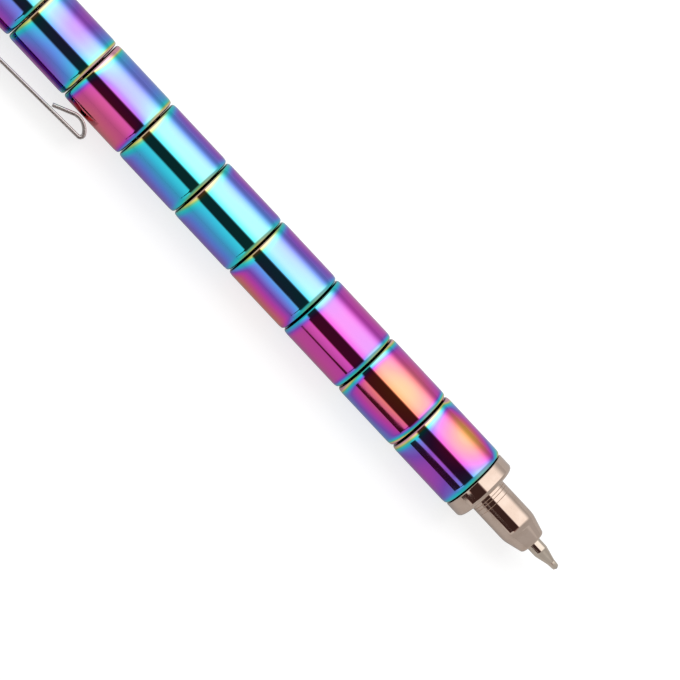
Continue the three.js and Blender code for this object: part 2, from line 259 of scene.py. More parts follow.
# %% A node tree
class Tree:
    """A material's or a world's nodes."""

    def __init__(self, owner):
        owner.use_nodes = True
        self.nodes = owner.node_tree.nodes
        self.links = owner.node_tree.links
        self.nodes.clear()

    def node(self, kind, settings=(), inputs=()):
        """Adds a node, sets its settings first, then its inputs by name or number."""
        made = self.nodes.new(kind)
        for name, value in dict(settings).items():
            if name == "stops":
                self.set_stops(made.color_ramp, value)
            else:
                setattr(made, name, value)
        pairs = inputs.items() if isinstance(inputs, dict) else enumerate(inputs)
        for key, value in pairs:
            self.feed(made.inputs[key], value)
        return made

    def set_stops(self, ramp, stops):
        """Gives a colour ramp its stops, each a position and a colour."""
        while len(ramp.elements) > 1:
            ramp.elements.remove(ramp.elements[-1])
        ramp.elements[0].position = stops[0][0]
        for position, _ in stops[1:]:
            ramp.elements.new(position)
        for element, (_, colour) in zip(ramp.elements, stops):
            element.color = (*colour, 1)

    def feed(self, socket, value):
        """Links a number or a socket to the socket, or sets a constant on it."""
        if isinstance(value, Number):
            self.links.new(value.socket, socket)
        elif isinstance(value, bpy.types.NodeSocket):
            self.links.new(value, socket)
        elif socket.type == "RGBA":
            socket.default_value = (*value, 1)
        else:
            socket.default_value = value

    def number(self, socket):
        return Number(self, socket)

    def split(self, vector):
        """The three numbers that a vector is made of."""
        parts = self.node("ShaderNodeSeparateXYZ", (), [vector])
        return [Number(self, part) for part in parts.outputs]

    def mix(self, share, a, b):
        """A colour between a and b."""
        made = self.node("ShaderNodeMix", {"data_type": "RGBA"}, {0: share, 6: a, 7: b})
        return made.outputs[2]

    def spots(self, vector, per_metre, detail=2.0, roughness=0.5):
        """Soft noise between 0 and 1, with so many spots to a metre."""
        values = {"Vector": vector, "Scale": per_metre, "Detail": detail, "Roughness": roughness}
        return Number(self, self.node("ShaderNodeTexNoise", (), values).outputs["Fac"])


# %% A finish
class Finish(Tree):
    """A material with one Principled shader. Numbers that are the same all over go on the shader itself."""

    def __init__(self, name, **sockets):
        self.material = bpy.data.materials.new(name)
        super().__init__(self.material)
        self.shader = self.node("ShaderNodeBsdfPrincipled")
        self.node("ShaderNodeOutputMaterial", (), {"Surface": self.shader.outputs[0]})
        for key, value in sockets.items():
            self.set(key.replace("_", " "), value)
        self.at = self.node("ShaderNodeTexCoord").outputs["Object"]
        self.x, self.y, self.z = self.split(self.at)

    def set(self, name, value):
        """Feeds the shader's socket of that name, whatever its capitals."""
        names = {socket.name.lower(): socket for socket in self.shader.inputs}
        self.feed(names[name.lower()], value)

    def bump(self, height):
        """Tilts the normals by a height in metres."""
        made = self.node("ShaderNodeBump", (), {"Strength": 1.0, "Distance": 1.0, "Height": height})
        self.set("normal", made.outputs[0])


# %% [markdown]
# ## The rainbow coating
# The magnets are plated and then coated with a film that is hundreds of times thinner than a hair.
# Light that mirrors off the film's top and bottom interferes, so the colour tells how thick the film is:
# gold, red, violet, blue, cyan, green and round again. The film builds up at sharp edges, so the colours
# crowd together near each ring's ends and run evenly between them. Blender can compute thin films, but
# the colour would be lost when the pen is used elsewhere. So the thickness is worked out as a number
# over each ring, and a colour ramp turns it into the metal's colour. Between two rings light is lost and
# the eye sees a thin dark line. In a render the polished rims would mirror the bright room there, so the
# rims get painted shade, a dark colour mixed into the coating.

# %% Colours of the film, from thin to thick
film_colours = [
    (0.00, (1.00, 0.50, 0.10)),
    (0.12, (0.95, 0.24, 0.20)),
    (0.22, (0.86, 0.13, 0.36)),
    (0.32, (0.74, 0.08, 0.60)),
    (0.42, (0.32, 0.11, 0.72)),
    (0.52, (0.15, 0.33, 0.98)),
    (0.62, (0.05, 0.62, 0.88)),
    (0.72, (0.04, 0.80, 0.78)),
    (0.80, (0.22, 0.72, 0.36)),
    (0.87, (0.86, 0.84, 0.18)),
    (0.93, (1.00, 0.72, 0.46)),
    (1.00, (0.90, 0.42, 0.52)),
]
print(len(film_colours), "film colours")

# %% [markdown]
# The picture is taken from above and a little from the clip's side. Two directions follow from that
# lean and serve the coating as well as the camera: front points up to the viewer, and side across the
# pen, away from the clip.

# %% Front and side
view_lean = math.radians(18.2)
side = Vector((0, math.cos(view_lean), math.sin(view_lean)))
front = Vector((0, -math.sin(view_lean), math.cos(view_lean)))
print("Front is", [round(c, 2) for c in front], "and side is", [round(c, 2) for c in side])


# %% The coating of one ring
# Painted shade: the dark colour that the rims get where two rings meet.
painted_joint_shade_colour = (0.016, 0.008, 0.014)


def rainbow(name, rear, near_side, far_side, near_fall, far_fall, bow, rear_rise, front_rise, far_edge):
    """near_side and far_side are the film's thickness on the clip's side and on the other side of the
    ring's top, and the falls say how much thinner it is at the very sides. The bow is how much it
    thickens from the ring's middle to both ends, mostly on the far side, and the rises how much more
    at the rear and front rims. far_edge thickens it at the far side's very edge. The ring starts at
    x = rear."""
    finish = Finish(name, metallic=1.0)
    y = finish.y - axis_y
    z = finish.z - axis_z
    across = (y * side.y + z * side.z) / barrel_radius
    up = (y * front.y + z * front.z) / barrel_radius
    flow = finish.spots(finish.at, 130, detail=1.0) - 0.5
    streak = across + 0.35 * flow

    thickness = streak.ramp(-0.35, 0.45, near_side, far_side)
    fall = across.ramp(-0.1, 0.1, near_fall, far_fall)
    from_rear = (finish.x - rear) / mm
    from_front = ring_length / mm - from_rear
    rear_edge = from_rear.ramp(0, 2.0, 1, 0) ** 2.2
    front_edge = from_front.ramp(0, 1.5, 1, 0) ** 2.0
    middle = (from_rear - from_front) / (ring_length / mm)
    thickness = thickness - fall * across * across + 0.10 * flow
    thickness = thickness + across.ramp(-0.5, 0.5, 0.35 * bow, bow) * middle * middle
    thickness = thickness + rear_rise * rear_edge + front_rise * front_edge
    thickness = thickness + up.ramp(-1, 0.2, 0.14, 0) + across.ramp(0.74, 1, 0, far_edge)

    colour = finish.node("ShaderNodeValToRGB", {"stops": film_colours}, [thickness]).outputs["Color"]
    # Painted highlight: the colour is mixed towards white on the side that faces the softbox, more where
    # the film is thick.
    painted_highlight = across.band(0.12, 0.62, 0.16) * up.ramp(0, 0.4) * thickness.ramp(0.3, 0.6, 0.17, 0.32)
    colour = finish.mix(painted_highlight, colour, (1, 1, 1))
    from_axis = (y * y + z * z) ** 0.5 / barrel_radius
    # Painted shade on the rims where two rings meet, in place of the light that is lost in the joint.
    rims = from_rear.ramp(0.1, 0.21, 1, 0) + from_front.ramp(0.1, 0.21, 1, 0)
    painted_joint_shade = rims * from_axis.ramp(0.88, 0.93)
    finish.set("base color", finish.mix(painted_joint_shade, colour, painted_joint_shade_colour))

    haze = finish.spots(finish.at, 700, detail=2.0)
    finish.set("roughness", haze.ramp(0.45, 0.75, 0.03, 0.06))
    ripple = finish.spots(finish.at, 170, detail=0)
    finish.bump(ripple * 0.008 * mm)
    return finish.material


# %% [markdown]
# ## Twelve ring magnets
# A ring is a short thick tube. After pressing, the magnets are tumbled with stones, which rounds their
# rims and lets the wall drop away slightly over the last half millimetre. That soft crown bends the
# reflections near each joint, so the section has it as well as the round rims. Just inside the rim the
# face leans back a little, so that two rings meet in a narrow V-shaped groove, which reads as one clean
# dark line. The bore has small chamfers. One ring is turned and the other eleven are copies, each with
# a mesh of its own.

# %% One ring
ring_bore = 2.25 * mm
bore_chamfer = 0.2 * mm
face_set_back = 0.012 * mm
groove_depth = 0.7 * mm
groove_lean = 0.07 * mm
rim_radius = 0.34 * mm
crown_drop = 0.11 * mm
crown_length = 0.62 * mm
crown_radius = 4 * mm


def rim(x, inward):
    """The groove's flank, the rounded rim and the crown at the ring's end x, from the face inwards."""
    return [
        (x, barrel_radius - groove_depth),
        (x + inward * groove_lean, barrel_radius - crown_drop, rim_radius),
        (x + inward * crown_length, barrel_radius, crown_radius),
    ]


def ring_corners(rear, ahead):
    """The half section of a ring between two places along the pen."""
    rear += face_set_back
    ahead -= face_set_back
    return [
        (rear, ring_bore + bore_chamfer),
        *rim(rear, 1),
        *reversed(rim(ahead, -1)),
        (ahead, ring_bore + bore_chamfer),
        (ahead - bore_chamfer, ring_bore),
        (rear + bore_chamfer, ring_bore),
    ]


first_ring = turn("magnet_06", ring_corners(ring_low.x, ring_high.x), sides=144, steps=7)
smooth(first_ring)
print("One ring has", len(first_ring.data.polygons), "faces")

# %% [markdown]
# Every ring took the coating a little differently. The numbers below are film thicknesses, chosen ring
# by ring in the order that rainbow() asks for: the clip's side and the far side, the falls at the very
# sides, the bow, the rises at the rear and the front rim, and the far edge. The first ring's far edge
# is thicker again, so that its thinnest place is a gold spot.

# %% Coatings and copies
coatings = {
    "01": (0.40, 0.18, 0.04, 0.30, 0.42, 0.50, 0.22, 0.45),
    "02": (0.11, 0.03, -0.42, -0.28, 0.14, 0.62, 0.66, 0),
    "03": (0.29, 0.34, 0.02, 0.05, 0.04, 0.38, 0.52, 0),
    "04": (0.60, 0.60, 0.55, 0.26, 0.02, 0.36, 0.20, 0),
    "05": (0.67, 0.67, 0.26, 0.30, 0.02, 0.30, 0.20, 0),
    "06": (0.67, 0.67, 0.26, 0.30, 0.02, 0.28, 0.18, 0),
    "07": (0.24, 0.50, 0.10, 0.00, 0.16, 0.55, 0.34, 0),
    "08": (0.56, 0.43, 0.24, 0.06, 0.26, 0.30, 0.36, 0),
    "09": (0.52, 0.63, 0.22, 0.22, 0.03, 0.30, 0.26, 0),
    "10": (0.34, 0.42, 0.05, 0.10, 0.08, 0.48, 0.30, 0),
    "11": (0.64, 0.58, 0.28, 0.20, 0.03, 0.30, 0.24, 0),
    "12": (0.46, 0.30, 0.08, 0.20, 0.10, 0.50, 0.42, 0),
}
for number, coating in coatings.items():
    node = "ring_" + number
    low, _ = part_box(node)
    piece = first_ring
    if number != "06":
        piece = bpy.data.objects.new("magnet_" + number, first_ring.data.copy())
        piece.data.name = piece.name
        piece.data.transform(Matrix.Translation((low.x - ring_low.x, 0, 0)))
        bpy.context.scene.collection.objects.link(piece)
    dress(piece, node, rainbow("rainbow_" + number, low.x, *coating))

# %% [markdown]
# ## The writing nozzle
# The nozzle is turned from steel bar and plated with bright nickel: a flange that snaps onto the first
# magnet, a spigot that centres in the ring's bore, and a slim snout with a tapered mouth. Three hairline
# grooves from the finishing pass are still there just in front of the flange. Their walls are steep, so
# that they stay sharp when the snout is smoothed.

# %% Nozzle section
nozzle_low, nozzle_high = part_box("nozzle")
spigot_length = 3.2 * mm
nozzle_seat = nozzle_low.x + spigot_length
snout_radius = 2.58 * mm
flange_radius = 4.6 * mm
flange_length = 2.35 * mm
refill_bore = 1.65 * mm
tip_hole = 1.1 * mm
mouth_chamfer = 0.08 * mm
collar_radius = 1.35 * mm
spigot_radius = 2.15 * mm
shoulder = nozzle_seat + 8.5 * mm
taper = math.radians(15.5)
mouth_radius = snout_radius - (nozzle_high.x - shoulder) * math.tan(taper)
refill_seat = nozzle_seat + 8.65 * mm
hairline_depth = 0.03 * mm
hairline_width = 0.042 * mm


def hairline(x):
    """A fine turned groove across the snout, from front to rear."""
    deep = snout_radius - hairline_depth
    return [(x + hairline_width, snout_radius), (x, deep), (x - hairline_width, snout_radius)]


nozzle_corners = [
    (nozzle_low.x, refill_bore),
    (refill_seat - (refill_bore - collar_radius), refill_bore),
    (refill_seat + (collar_radius - tip_hole), tip_hole),
    (nozzle_high.x - mouth_chamfer, tip_hole),
    (nozzle_high.x, tip_hole + mouth_chamfer),
    (nozzle_high.x, mouth_radius, 0.6 * mm),
    (shoulder, snout_radius, 3.6 * mm),
    *hairline(nozzle_seat + 4.0 * mm),
    *hairline(nozzle_seat + 3.35 * mm),
    *hairline(nozzle_seat + 2.95 * mm),
    (nozzle_seat + flange_length, snout_radius, 0.12 * mm),
    (nozzle_seat + flange_length, flange_radius, 0.55 * mm),
    (nozzle_seat, flange_radius, 0.15 * mm),
    (nozzle_seat, spigot_radius),
    (nozzle_low.x, spigot_radius, 0.12 * mm),
]
nozzle = turn("writing_nozzle", nozzle_corners, sides=144)
smooth(nozzle)


# %% [markdown]
# ## Nickel plate
# Nickel is a warm white metal. It mirrors well but not perfectly: the cutting tool leaves fine rings,
# polishing leaves soft waves, and fingers leave a faint haze. All are too small to model, so the rings
# and waves go into the normals, and the rings and the haze into the roughness.

# %% Nickel finish
def nickel(name, colour, shade, low_gloss, high_gloss, wave):
    """A turned and plated metal: its colour and shaded colour, its roughness and its waviness."""
    finish = Finish(name, metallic=1.0)
    grain = finish.node("ShaderNodeCombineXYZ", (), [finish.x, finish.y * 0.02, finish.z * 0.02])
    rings = finish.spots(grain.outputs[0], 6500, detail=2.0)
    cloud = finish.spots(finish.at, 480, detail=3.0)
    finish.set("base color", finish.mix(cloud.ramp(0.35, 0.7), colour, shade))
    finish.set("roughness", (rings * 0.3 + cloud * 0.7).ramp(0.3, 0.7, low_gloss, high_gloss))
    ripple = finish.spots(finish.at, 420, detail=2.0)
    finish.bump(ripple * wave + rings * 0.00008 * mm)
    return finish.material


nickel_plate = nickel(
    "nickel_plate", (0.73, 0.58, 0.49), (0.66, 0.51, 0.42), 0.03, 0.055, 0.0009 * mm
)
dress(nozzle, "nozzle", nickel_plate)

# %% [markdown]
# ## The refill's point
# The point is turned from nickel silver: a barbed shank that holds in the plastic tube, a collar that
# stops inside the nozzle, and the cone whose lip is crimped over the ball. The ink reaches the ball
# through a stepped channel.

# %% Point section
point_low, point_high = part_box("refill_point")
tube_front = nozzle_seat + 8.0 * mm
collar_front = tube_front + 0.6 * mm
cone_end = point_high.x - 0.95 * mm
cone_start = cone_end - 1.95 * mm
shank = 0.92 * mm
barb = 0.08 * mm
ink_channel = 0.45 * mm
ink_throat = 0.18 * mm
neck_of_cone = 1.0 * mm
lip_radius = 0.4 * mm
ball_low, ball_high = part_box("writing_ball")
ball_x = (ball_low.x + ball_high.x) / 2
seat_radius = 0.38 * mm
barb_step = (tube_front - point_low.x) / 4

point_corners = [
    (point_low.x, ink_channel),
    (ball_x - 1.28 * mm, ink_channel),
    (ball_x - 0.83 * mm, ink_throat),
    (ball_x - 0.38 * mm, ink_throat),
    (ball_x - 0.175 * mm, seat_radius),
    (ball_x, seat_radius),
    (point_high.x, 0.32 * mm),
    (point_high.x, lip_radius, 0.03 * mm),
    (point_high.x - 0.22 * mm, 0.47 * mm),
    (cone_end, 0.52 * mm, 1.0 * mm),
    (cone_start, neck_of_cone, 1.0 * mm),
    (collar_front, neck_of_cone, 0.04 * mm),
    (collar_front, collar_radius, 0.05 * mm),
    (tube_front + 0.05 * mm, collar_radius, 0.05 * mm),
    (tube_front + 0.05 * mm, shank - barb),
]
for n in (3, 2, 1):
    step = point_low.x + n * barb_step
    point_corners += [(step, shank - barb), (step, shank)]
point_corners.append((point_low.x, shank - 2 * barb))
point = turn("refill_cone_point", point_corners, sides=96, steps=5)
smooth(point)
point_metal = nickel(
    "nickel_silver", (0.74, 0.64, 0.54), (0.68, 0.57, 0.47), 0.06, 0.11, 0.001 * mm
)
dress(point, "refill_point", point_metal)

# %% [markdown]
# ## The writing ball
# The ball is ground from carbide and must be round from every side. A UV sphere has poles, so a cube is
# subdivided and then cast to a sphere, which spreads its faces evenly.

# %% Ball
ball_radius = (ball_high.x - ball_low.x) / 2
bpy.ops.object.select_all(action="DESELECT")
bpy.ops.mesh.primitive_cube_add(size=2 * ball_radius / math.sqrt(3), location=place(ball_x, 0))
ball = bpy.context.object
ball.name = "carbide_ball"
bpy.ops.object.mode_set(mode="EDIT")
bpy.ops.mesh.select_all(action="SELECT")
bpy.ops.mesh.subdivide(number_cuts=11)
bpy.ops.object.mode_set(mode="OBJECT")
cast = ball.modifiers.new("round", "CAST")
cast.factor = 1
cast.radius = 0
cast.size = ball_radius
cast.use_radius_as_size = False
bpy.ops.object.modifier_apply(modifier=cast.name)
bpy.ops.object.transform_apply(location=True, rotation=True, scale=True)
smooth(ball, 60)
print("The ball is", round(2 * ball_radius / mm, 2), "mm across")

# %% [markdown]
# Carbide is a dark grey metal, sintered from grains and only then ground, so it keeps a fine speckle.

# %% Carbide finish
carbide = Finish("ground_carbide", metallic=1.0)
speckle = carbide.spots(carbide.at, 26000, detail=1.0)
grains = carbide.mix(speckle.ramp(0.4, 0.65), (0.30, 0.27, 0.26), (0.44, 0.40, 0.38))
carbide.set("base color", grains)
carbide.set("roughness", speckle.ramp(0.3, 0.7, 0.12, 0.24))
dress(ball, "writing_ball", carbide.material)

# %% [markdown]
# ## The refill's tube and its ink
# The tube is drawn from clear plastic, thick walled and open at the rear. It shows when the nozzle is
# pulled out of the magnets. The ink behind the point shines through it. Ink clings to the wall, so the
# column ends in a hollow.

# %% Tube and ink
tube_low, tube_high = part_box("refill_tube")
tube_radius = 1.5 * mm
tube_bore = 0.95 * mm
tube_corners = [
    (tube_high.x, tube_bore),
    (tube_high.x, tube_radius, 0.1 * mm),
    (tube_low.x, tube_radius, 0.1 * mm),
    (tube_low.x, tube_bore),
]
tube = turn("refill_tube_clear", tube_corners, sides=64, steps=3)
smooth(tube)

ink_low, ink_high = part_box("ink_column")
ink_radius = 0.92 * mm
hollow_depth = 0.45 * mm
ink_corners = [
    (ink_low.x + hollow_depth, 0),
    (ink_low.x + 0.3 * mm, 0.45 * mm),
    (ink_low.x, ink_radius),
    (ink_high.x, ink_radius, 0.05 * mm),
    (ink_high.x, 0),
]
ink_column = turn("ink_in_tube", ink_corners, sides=64, steps=4)
smooth(ink_column, 50)

# %% Clear plastic and ink
clear = Finish("clear_plastic", transmission_weight=1.0, ior=1.49)
cloud = clear.spots(clear.at, 300, detail=2.0)
tint = clear.mix(cloud.ramp(0.3, 0.7), (0.82, 0.88, 0.89), (0.76, 0.84, 0.86))
clear.set("base color", tint)
clear.set("roughness", cloud.ramp(0.3, 0.7, 0.02, 0.04))
dress(tube, "refill_tube", clear.material)

ink = Finish("black_ink", coat_weight=0.6)
flow = ink.spots(ink.at, 900, detail=2.0)
shades = ink.mix(flow.ramp(0.35, 0.7), (0.008, 0.009, 0.016), (0.02, 0.022, 0.04))
ink.set("base color", shades)
ink.set("roughness", flow.ramp(0.3, 0.7, 0.18, 0.32))
dress(ink_column, "ink_column", ink.material)

# %% [markdown]
# ## Silicone grip rings
# Two small rings on the refill centre it in the bore and keep it from rattling. A moulded ring has a
# round section with a thin parting line round its outside. A circle is set in the section's plane, its
# outermost point is pulled out for the parting line, and the circle is spun about the axis.

# %% Grip rings
parting_line = 0.012 * mm


def grip_ring(name, node):
    """A silicone ring on the tube, as wide as its node's box is high."""
    low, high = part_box(node)
    outer = (high.z - low.z) / 2
    inner = tube_radius + 0.04 * mm
    middle = (outer + inner) / 2
    bpy.ops.object.select_all(action="DESELECT")
    bpy.ops.mesh.primitive_circle_add(
        vertices=24,
        radius=(outer - inner) / 2,
        location=place((low.x + high.x) / 2, middle),
        rotation=(math.pi / 2, 0, 0),
    )
    piece = bpy.context.object
    piece.name = name
    bpy.ops.object.transform_apply(location=True, rotation=True, scale=True)
    bpy.ops.object.mode_set(mode="EDIT")
    pick(lambda co: co.z - axis_z > outer - 0.002 * mm)
    bpy.ops.transform.translate(value=(0, 0, parting_line))
    bpy.ops.mesh.select_all(action="SELECT")
    bpy.ops.mesh.spin(
        steps=80, angle=2 * math.pi, use_auto_merge=True, center=place(0, 0), axis=(1, 0, 0)
    )
    bpy.ops.mesh.select_all(action="SELECT")
    bpy.ops.mesh.remove_doubles(threshold=1e-7)
    bpy.ops.mesh.normals_make_consistent(inside=False)
    bpy.ops.object.mode_set(mode="OBJECT")
    smooth(piece, 50)
    return piece


silicone = Finish("silicone", subsurface_weight=0.2, subsurface_scale=0.0004)
dust = silicone.spots(silicone.at, 2600, detail=3.0)
milky = silicone.mix(dust.ramp(0.4, 0.7), (0.74, 0.74, 0.71), (0.64, 0.64, 0.61))
silicone.set("base color", milky)
silicone.set("roughness", dust.ramp(0.3, 0.7, 0.45, 0.65))
for node in ("grip_ring_front", "grip_ring_rear"):
    dress(grip_ring(node + "_silicone", node), node, silicone.material)

# %% [markdown]
# ## The touch tip
# At the other end sits the nozzle's counterpart. Its holder has the same flange and spigot, and a cup
# whose rim is rolled over the foot of a hollow rubber dome, which works on touch screens.

# %% Holder section
holder_low, holder_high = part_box("touch_tip_holder")
holder_seat = holder_high.x - spigot_length
cup_radius = 3.25 * mm
neck_radius = 2.9 * mm
mouth = 3.8 * mm
lip_length = 0.7 * mm
cup_floor = 3.4 * mm
holder_corners = [
    (holder_high.x, 0),
    (holder_high.x, spigot_radius, 0.12 * mm),
    (holder_seat, spigot_radius),
    (holder_seat, flange_radius, 0.15 * mm),
    (holder_seat - flange_length, flange_radius, 0.55 * mm),
    (holder_seat - flange_length, mouth, 0.12 * mm),
    (holder_low.x, mouth, 0.3 * mm),
    (holder_low.x, neck_radius, 0.1 * mm),
    (holder_low.x + lip_length, neck_radius),
    (holder_low.x + lip_length, cup_radius),
    (holder_low.x + cup_floor, cup_radius),
    (holder_low.x + cup_floor, 0),
]
holder = turn("touch_tip_holder_turned", holder_corners, sides=128)
smooth(holder)
dress(holder, "touch_tip_holder", nickel_plate)

# %% [markdown]
# The dome is moulded. Its foot is wider than its neck, which the holder's rolled lip grips, and outside
# the holder it swells to a half oval. Points on the oval are close enough together to be smoothed.

# %% Dome section
dome_low, dome_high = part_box("touch_tip_dome")
cup_edge = holder_low.x
dome_wall = 0.8 * mm
dome_play = 0.03 * mm
dome_neck = neck_radius - dome_play
dome_foot = cup_radius - dome_play
foot_length = 0.9 * mm
dome_height = cup_edge - dome_low.x
dome_swell = neck_radius + 0.18 * mm


def dome_arc(radius, height, angles):
    """Points on an oval that bulges out of the holder."""
    return [
        (cup_edge - height * math.sin(math.radians(a)), radius * math.cos(math.radians(a)))
        for a in angles
    ]


outer_angles = [84, 78, 72, 66, 60, 54, 48, 42, 36, 30, 24, 18, 12]
dome_corners = [
    (dome_low.x, 0),
    *dome_arc(dome_swell, dome_height, outer_angles),
    (cup_edge - 0.1 * mm, dome_neck, 0.1 * mm),
    (dome_high.x - foot_length, dome_neck),
    (dome_high.x - foot_length, dome_foot),
    (dome_high.x, dome_foot),
    (dome_high.x, dome_neck - dome_wall),
    *dome_arc(dome_swell - dome_wall, dome_height - dome_wall, outer_angles[::-1]),
    (dome_low.x + dome_wall, 0),
]
dome = turn("touch_tip_dome_rubber", dome_corners, sides=96)
smooth(dome, 40)

# %% [markdown]
# Conductive rubber is filled with carbon, so it is nearly black and matt, with a fine grain. Where it
# strokes the glass, at its very end, it is a little greyer and duller from wear.

# %% Rubber finish
rubber = Finish("conductive_rubber")
grain = rubber.spots(rubber.at, 7000, detail=3.0)
wear = rubber.x.ramp(dome_low.x, dome_low.x + 1.2 * mm, 1, 0)
rubber.set("base color", rubber.mix(wear * 0.6, (0.022, 0.022, 0.024), (0.045, 0.044, 0.044)))
rubber.set("roughness", (grain * 0.6 + wear * 0.4).ramp(0.2, 0.9, 0.42, 0.62))
rubber.bump(grain * 0.004 * mm)
dress(dome, "touch_tip_dome", rubber.material)

# %% [markdown]
# ## The spring clip
# The clip is stamped from half-millimetre spring steel and bent: a washer that two rings grip, a tab
# that leaves it, an elbow, a long strap that leans in to the barrel, and a curl at its end. The strip is
# modelled as it is bent: its section is extruded for every straight and spun round a bend's centre for
# every bend. The direction in which it stands off the barrel is measured on the engineering model.

# %% Where the clip points
clip_low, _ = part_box("clip")
sheet = 0.5 * mm
washer_rear = clip_low.x
washer_front = washer_rear + sheet
beyond = [v.co for v in frame["nodes"]["clip"].data.vertices if v.co.x > washer_front + 2 * mm]
out = sum(beyond, Vector()) / len(beyond) - place(0, 0)
out.x = 0
out.normalize()
along = Vector((1, 0, 0))
wide = along.cross(out)
print("The clip stands off towards", [round(c, 3) for c in out])

# %% Sizes of the strip
strip_thickness = 0.496 * mm
strip_width = 4.0 * mm
elbow_width = 3.912 * mm
strip_end_width = 3.37 * mm
tail_width = 3.3 * mm
washer_bore = 2.35 * mm
washer_radius = 4.5 * mm
edge_radius = 0.13 * mm
tab_start = 3.425 * mm
tab_length = 4.528 * mm
elbow_radius = 0.85 * mm
elbow = math.radians(92.4)
strap_length = 45.3 * mm
end_bend_radius = 0.46 * mm
end_bend = math.radians(122)
curl_radius = 2.4 * mm
curl = math.radians(61)
tail_radius = 1.6 * mm
tail_bend = math.radians(19)
tail_length = 2.97 * mm
print("The strap is", round(strap_length / mm, 1), "mm long and", round(strip_width / mm, 1), "wide")


# %% Ways to bend it
def heading(angle):
    """The direction at an angle from the pen's axis, towards the clip's side."""
    return along * math.cos(angle) + out * math.sin(angle)


def narrow(here, width, next_width):
    """Narrows the selected end of the strip, across its width only."""
    bpy.ops.transform.resize(
        value=(1, next_width / width, 1),
        orient_matrix=(along, wide, out),
        orient_matrix_type="GLOBAL",
        constraint_axis=(False, True, False),
        center_override=here,
    )


def run(here, angle, length):
    """A straight: extrudes the selected end along its heading and returns its new middle."""
    move = heading(angle) * length
    bpy.ops.mesh.extrude_region_move(TRANSFORM_OT_translate={"value": move})
    return here + move


def bend(here, angle, radius, turned, steps):
    """A bend towards the barrel: spins the selected end and returns its new middle and heading."""
    centre = here + heading(angle - math.pi / 2) * radius
    bpy.ops.mesh.spin(steps=steps, angle=turned, center=centre, axis=wide)
    angle -= turned
    return centre - heading(angle - math.pi / 2) * radius, angle


# %% The bent strip
bpy.ops.object.select_all(action="DESELECT")
bpy.ops.mesh.primitive_plane_add(size=mm)
clip = bpy.context.object
clip.name = "pocket_clip"
bpy.ops.object.mode_set(mode="EDIT")
bpy.ops.mesh.select_all(action="SELECT")
bpy.ops.transform.resize(value=(strip_thickness / mm, strip_width / mm, 1))
bpy.ops.mesh.bevel(offset=edge_radius, segments=4, affect="VERTICES", profile=0.5)
bpy.ops.object.mode_set(mode="OBJECT")
here = Vector((washer_rear + sheet / 2, axis_y, axis_z)) + out * tab_start
clip.rotation_euler = (math.atan2(-out.y, out.z), 0, 0)
clip.location = here
bpy.ops.object.transform_apply(location=True, rotation=True, scale=True)

bpy.ops.object.mode_set(mode="EDIT")
bpy.ops.mesh.select_all(action="SELECT")
angle = math.pi / 2
here = run(here, angle, tab_length)
narrow(here, strip_width, elbow_width)
here, angle = bend(here, angle, elbow_radius, elbow, 24)
here = run(here, angle, strap_length)
narrow(here, elbow_width, strip_end_width)
here, angle = bend(here, angle, end_bend_radius, end_bend, 24)
here, angle = bend(here, angle, curl_radius, curl, 20)
here, angle = bend(here, angle, tail_radius, tail_bend, 6)
here = run(here, angle, tail_length)
narrow(here, strip_end_width, tail_width)
bpy.ops.mesh.select_all(action="SELECT")
bpy.ops.mesh.normals_make_consistent(inside=False)
bpy.ops.object.mode_set(mode="OBJECT")
print("The strip ends at", [round(c / mm, 3) for c in here])

# %% [markdown]
# The washer is turned like the other pieces. A Boolean union joins it to the tab, which is a hair thinner
# than the washer so that no two faces coincide.

# %% Washer and union
washer_corners = [
    (washer_rear, washer_bore),
    (washer_rear, washer_radius, edge_radius),
    (washer_front, washer_radius, edge_radius),
    (washer_front, washer_bore),
]
washer = turn("clip_washer", washer_corners, sides=96, steps=4)
bpy.ops.object.select_all(action="DESELECT")
clip.select_set(True)
bpy.context.view_layer.objects.active = clip
union = clip.modifiers.new("washer", "BOOLEAN")
union.operation = "UNION"
union.solver = "EXACT"
union.object = washer
bpy.ops.object.modifier_apply(modifier=union.name)
bpy.data.objects.remove(washer)
smooth(clip)

# %% [markdown]
# ## Spring steel
# The strip is rolled, polished and tumbled. Rolling leaves very faint lines along its length, which
# stretch the reflections a little, so the roughness and the normals both follow noise that is drawn out
# along the pen. The strip's two long edges are cut by the die and stay a little duller.

# %% Clip finish
steel = Finish("polished_spring_steel", metallic=1.0)
drawn = steel.node("ShaderNodeCombineXYZ", (), [steel.x * 0.04, steel.y, steel.z])
lines = steel.spots(drawn.outputs[0], 5200, detail=2.0)
cloud = steel.spots(steel.at, 350, detail=3.0)
steel.set("base color", steel.mix(cloud.ramp(0.35, 0.7), (0.80, 0.77, 0.74), (0.72, 0.69, 0.66)))
across = (steel.y - axis_y) * wide.y + (steel.z - axis_z) * wide.z
cut_edge = across.sum("ABSOLUTE", across).ramp(1.5 * mm, 1.65 * mm)
steel.set("roughness", (lines * 0.6 + cloud * 0.4).ramp(0.3, 0.7, 0.06, 0.15) + cut_edge * 0.1)
steel.bump(lines * 0.0004 * mm + cloud * 0.001 * mm)
dress(clip, "clip", steel.material)

# %% [markdown]
# ## Camera
# The pen runs down to the right, and a long lens keeps its sides nearly parallel. The camera's three
# directions are worked out from the lean that the coating has used already and two more angles: how far
# the camera leans back along the pen, and how steeply the pen slants in the picture.

# %% Camera
camera_distance = 0.683
lens_in_mm = 284.3
camera_back_tilt = math.radians(5.6)
pen_slant = math.radians(46.92)
middle_of_view = 33.9 * mm
aim = place(middle_of_view, 0) - side * 0.3 * mm

